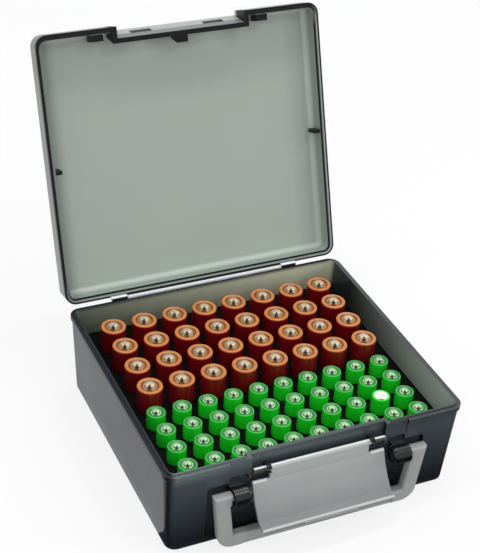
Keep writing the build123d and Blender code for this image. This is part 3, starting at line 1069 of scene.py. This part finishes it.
# ---------------------------------------------------------------- metal and film
def plated_steel(name, colour, bright_colour, roughness):
    """Nickel-plated pressed steel: bright, with the faint streaks of the strip that it was stamped from, and
    a
    painted reflection: a dark streak down the front of each terminal, for what its polished wall shows of a
    dark room."""
    made, tree, shader = start_material(name, Metallic=1.0)
    coordinates = add(tree, "ShaderNodeTexCoord")
    along_strip = add(
        tree,
        "ShaderNodeMapping",
        {"Vector": coordinates.outputs["Object"], "Scale": strip_stretch},
    )
    brushed = add(
        tree,
        "ShaderNodeTexNoise",
        {"Vector": along_strip.outputs["Vector"], "Scale": per_metre(brushing_size), "Detail": 2.0},
    )
    shine = add(
        tree,
        "ShaderNodeMapRange",
        {"Value": brushed.outputs["Fac"], 3: roughness - 0.06, 4: roughness + 0.08},
    )
    tree.links.new(shine.outputs["Result"], shader.inputs["Roughness"])
    tone = add(
        tree,
        "ShaderNodeMix",
        {"Factor": brushed.outputs["Fac"], "A": linear(colour), "B": linear(bright_colour)},
        data_type="RGBA",
    )
    level = add(
        tree,
        "ShaderNodeVectorMath",
        {0: coordinates.outputs["Normal"], 1: (1, 1, 0)},
        operation="MULTIPLY",
    )
    heading = add(tree, "ShaderNodeVectorMath", {0: level.outputs["Vector"]}, operation="NORMALIZE")
    forwards = add(
        tree,
        "ShaderNodeVectorMath",
        {0: heading.outputs["Vector"], 1: streak_heading},
        operation="DOT_PRODUCT",
    )
    leaning = add(tree, "ShaderNodeVectorMath", {0: level.outputs["Vector"]}, operation="LENGTH")
    steep = add(tree, "ShaderNodeMapRange", {"Value": leaning.outputs["Value"], **leaning_enough})
    streak = add(
        tree,
        "ShaderNodeMapRange",
        {"Value": forwards.outputs["Value"], **streak_cosine, 4: steep.outputs["Result"]},
    )
    # the painted reflection of a dark room, down the front of each terminal
    streaked = add(
        tree,
        "ShaderNodeMix",
        {"Factor": streak.outputs["Result"], "A": tone.outputs["Result"], "B": linear("#23211f")},
        data_type="RGBA",
    )
    tree.links.new(streaked.outputs["Result"], shader.inputs["Base Color"])
    return made


def shrink_film(name, colour, deep_colour, roughness):
    """Printed heat-shrunk film: glossy ink under a clear skin, pulled into slight waves by the heat."""
    made, tree, shader = start_material(name, IOR=1.5, Coat_Weight=0.12, Coat_Roughness=0.15)
    place = add(tree, "ShaderNodeTexCoord").outputs["Object"]
    pull = add(
        tree,
        "ShaderNodeTexNoise",
        {"Vector": place, "Scale": per_metre(film_pull_size), "Detail": 1.0},
    )
    ink = add(
        tree,
        "ShaderNodeMix",
        {"Factor": pull.outputs["Fac"], "A": linear(deep_colour), "B": linear(colour)},
        data_type="RGBA",
    )
    tree.links.new(ink.outputs["Result"], shader.inputs["Base Color"])
    gloss = add(
        tree,
        "ShaderNodeMapRange",
        {"Value": pull.outputs["Fac"], 3: roughness - 0.05, 4: roughness + 0.05},
    )
    tree.links.new(gloss.outputs["Result"], shader.inputs["Roughness"])
    wave = add(
        tree,
        "ShaderNodeBump",
        {"Height": pull.outputs["Fac"], "Distance": film_wave * MM, "Strength": 0.4},
    )
    tree.links.new(wave.outputs["Normal"], shader.inputs["Normal"])
    return made


# ---------------------------------------------------------------- cells
def turned_form(name, rings, finishes, closed_at_ends):
    """A round form drawn up from a circle along its rings, each band with its own finish. It is closed at its
    two ends, or else its last ring meets its first."""
    deselect_everything()
    radius, height, _ = rings[0]
    bpy.ops.mesh.primitive_circle_add(
        vertices=cell_sides,
        radius=radius * MM,
        fill_type="NGON" if closed_at_ends else "NOTHING",
        location=(0, 0, height * MM),
    )
    made = bpy.context.object
    made.name = name
    bpy.ops.object.transform_apply(location=True)
    bpy.ops.object.mode_set(mode="EDIT")
    bpy.ops.mesh.select_all(action="SELECT")
    steps = rings[1:] if closed_at_ends else rings[1:] + rings[:1]
    for wide, high, _ in steps:
        rise = {"value": (0, 0, (high - height) * MM)}
        if closed_at_ends:
            bpy.ops.mesh.extrude_region_move(TRANSFORM_OT_translate=rise)
        else:
            bpy.ops.mesh.extrude_edges_move(TRANSFORM_OT_translate=rise)
        ratio = wide / radius
        bpy.ops.transform.resize(value=(ratio, ratio, 1), center_override=(0, 0, high * MM))
        radius, height = wide, high
    bpy.ops.mesh.select_all(action="SELECT")
    bpy.ops.mesh.remove_doubles(threshold=merge_distance * MM)
    bpy.ops.mesh.normals_make_consistent(inside=False)
    bpy.ops.object.mode_set(mode="OBJECT")
    for finish in finishes:
        made.data.materials.append(finish)
    previous = rings[:-1] if closed_at_ends else rings[-1:] + rings[:-1]
    bands = list(zip(previous, rings[1:] if closed_at_ends else rings))
    # a face takes the finish of the band whose middle is nearest to its own
    for face in made.data.polygons:
        corners = [made.data.vertices[i].co for i in face.vertices]
        across = sum(math.hypot(c.x, c.y) for c in corners) / len(corners) / MM
        up = sum(c.z for c in corners) / len(corners) / MM
        nearest = min(
            bands,
            key=lambda band: math.hypot(
                (band[0][0] + band[1][0]) / 2 - across,
                (band[0][1] + band[1][1]) / 2 - up,
            ),
        )
        face.material_index = nearest[1][2]
    bpy.ops.object.shade_smooth_by_angle(angle=smooth_below)
    return made


def stand_row(kind, number, form, node, columns, radius, height, turned):
    """Copies of a form at each place of a row, joined into the piece that stands for the CAD node."""
    low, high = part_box(f"{kind}_jackets_row_{number}")
    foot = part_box("base_shell")[0][2] + tub_floor * MM
    middle = (low[1] + high[1]) / 2
    first = low[0] + radius * MM
    pitch = (high[0] - low[0] - 2 * radius * MM) / (columns - 1)
    copies = []
    for column in range(columns):
        other_end = turned and column == turned_column - 1
        rise = height * MM if other_end else 0
        copies.append(copy_to(form, (first + column * pitch, middle, foot + rise), other_end))
    row = join_as(f"{kind}_{form.name}_row_{number}", copies)
    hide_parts(node)
    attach(row, f"{kind}_row_{number}")
    return row


def stand_cells(kind, columns, radius, height, can_rings, jacket_rings, can_finishes, jacket_finishes):
    """Every row of one kind of cell, then the two forms that were copied are taken away."""
    forms = (
        (turned_form("cans", can_rings, can_finishes, True), f"{kind}_can"),
        (turned_form("jackets", jacket_rings, jacket_finishes, False), f"{kind}_jacket"),
    )
    for form, slot in forms:
        for number in range(1, cell_rows + 1):
            turned = kind == turned_kind and number == turned_row
            node = f"{kind}_{form.name}_row_{number}"
            row = stand_row(kind, number, form, node, columns, radius, height, turned)
        bpy.data.objects.remove(form)


# ---------------------------------------------------------------- stage, light and camera
def place_camera():
    """The camera that looks at the case as the photograph does."""
    back = Vector(
        (
            math.sin(camera_azimuth) * math.cos(camera_elevation),
            -math.cos(camera_azimuth) * math.cos(camera_elevation),
            math.sin(camera_elevation),
        )
    )
    level = Vector((math.cos(camera_azimuth), math.sin(camera_azimuth), 0))
    above = back.cross(level)
    right = math.cos(camera_roll) * level + math.sin(camera_roll) * above
    up = -math.sin(camera_roll) * level + math.cos(camera_roll) * above
    lens = bpy.data.cameras.new("camera")
    lens.sensor_width = sensor_size
    lens.lens = focal_length_pixels * sensor_size / image_height_pixels
    camera = bpy.data.objects.new("camera", lens)
    camera.matrix_world = Matrix((right, up, back)).transposed().to_4x4()
    camera.location = camera_place
    bpy.context.scene.collection.objects.link(camera)
    bpy.context.scene.camera = camera


def soft_box(name, place, target, width, height, power):
    """A diffused lamp that looks at a target."""
    lamp = bpy.data.lights.new(name, "AREA")
    lamp.shape = "RECTANGLE"
    lamp.size = width
    lamp.size_y = height
    lamp.energy = power
    made = bpy.data.objects.new(name, lamp)
    made.location = place
    made.rotation_mode = "QUATERNION"
    made.rotation_quaternion = (Vector(target) - Vector(place)).to_track_quat("-Z", "Y")
    bpy.context.scene.collection.objects.link(made)


def flat_sheet(name, size, place, colour):
    """A plain sheet of the studio, which isn't part of the object."""
    deselect_everything()
    bpy.ops.mesh.primitive_plane_add(size=1.0, location=place)
    made = bpy.context.object
    made.name = name
    made.scale = (size[0], size[1], 1)
    bpy.ops.object.transform_apply(location=True, scale=True)
    paper, _, _ = start_material(
        name + "_paper",
        Roughness=0.9,
        Specular_IOR_Level=0.1,
        Base_Color=linear(colour),
    )
    made.data.materials.append(paper)
    return made


def set_stage():
    """A pale table under a pale sky, with soft boxes round it."""
    floor = flat_sheet("floor", size=(8.0, 8.0), place=(0, 0, 0), colour="#6d6d6d")
    # the table glows a little, so that the case throws hardly any shadow, as in the photograph
    glow = floor.data.materials[0].node_tree.nodes["Principled BSDF"]
    glow.inputs["Emission Color"].default_value = linear("#ffffff")
    glow.inputs["Emission Strength"].default_value = table_glow
    # a black card that only reflections see: it keeps the front wall dark, as in the photograph
    # the card stands in for shade: the front wall mirrors it as the shaded table before the case
    card = flat_sheet("front_card", size=(0.7, 0.18), place=(0.1, -0.15, 0.4 * MM), colour="#0a0a0a")
    card.visible_camera = False
    card.visible_diffuse = False
    card.visible_shadow = False
    card.visible_transmission = False
    world = bpy.data.worlds.new("studio")
    bpy.context.scene.world = world
    world.use_nodes = True
    sky = world.node_tree.nodes["Background"]
    sky.inputs["Color"].default_value = linear("#fdfdff")
    sky.inputs["Strength"].default_value = sky_strength
    for name, place, target, width, height, power in soft_boxes:
        soft_box(name, place, target, width, height, power)
    bpy.context.scene.view_settings.view_transform = "Standard"


# ---------------------------------------------------------------- the case
case_finishes = {
    "base_shell": dark_smoke_polypropylene(),
    "lid_shell": light_smoke_polypropylene(),
    "latch_plate": latch_polypropylene(),
    "carry_handle": handle_polypropylene(),
    "hinge_pin": plated_steel("steel_wire_drawn", "#9c9c9a", "#c4c4c2", 0.32),
    "cell_rack": black_polystyrene(),
}
# the pieces of the case keep their CAD shape and take their finish
for node_name, finish in case_finishes.items():
    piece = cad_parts[node_name]
    piece.data.materials.clear()
    piece.data.materials.append(finish)

# The plate gets the colour of the film round it as a painted reflection, most of all on the step next to
# the film. The finishes are in the order that the rings number them.
# the groove round each nub is near black: painted shade in the groove
groove_shade_finish = plated_steel("nickel_plated_steel_tarnished", "#1c1a18", "#3a3835", 0.5)
stand_cells(
    "aa",
    large_columns,
    large_radius,
    large_height,
    large_can_rings,
    large_jacket_rings,
    (
        plated_steel("nickel_plated_steel_copper_tint", "#d0bea2", "#e6d8be", 0.6),
        groove_shade_finish,
        plated_steel("nickel_plated_steel_copper_step", "#ac7a4c", "#c89a68", 0.5),
    ),
    (
        shrink_film("printed_film_dark_red", "#780910", "#5e060c", 0.3),
        shrink_film("printed_film_orange_edge", "#a8432a", "#8e3520", 0.3),
        shrink_film("printed_film_copper", "#cb823c", "#ba6a3a", 0.32),
        # the film's throat: its print darkened with painted shade
        shrink_film("printed_film_amber", "#84500f", "#562a06", 0.3),
    ),
)
stand_cells(
    "aaa",
    small_columns,
    small_radius,
    small_height,
    small_can_rings,
    small_jacket_rings,
    (
        plated_steel("nickel_plated_steel_green_tint", "#b6d6ae", "#d0eec8", 0.6),
        groove_shade_finish,
        plated_steel("nickel_plated_steel_green_step", "#6cb46c", "#88c886", 0.5),
        plated_steel("nickel_plated_steel", "#e2eade", "#f2f8ee", 0.6),
    ),
    (
        shrink_film("printed_film_green", "#1ed42a", "#14bc1e", 0.3),
        # the film's rounded edge: its green paled by a painted highlight
        shrink_film("printed_film_pale_green", "#46b852", "#3aaa46", 0.3),
        shrink_film("printed_film_leaf_green", "#15802a", "#0f6e22", 0.3),
        shrink_film("printed_film_deep_green", "#2a8a3a", "#1e7a2e", 0.3),
    ),
)

set_stage()
place_camera()
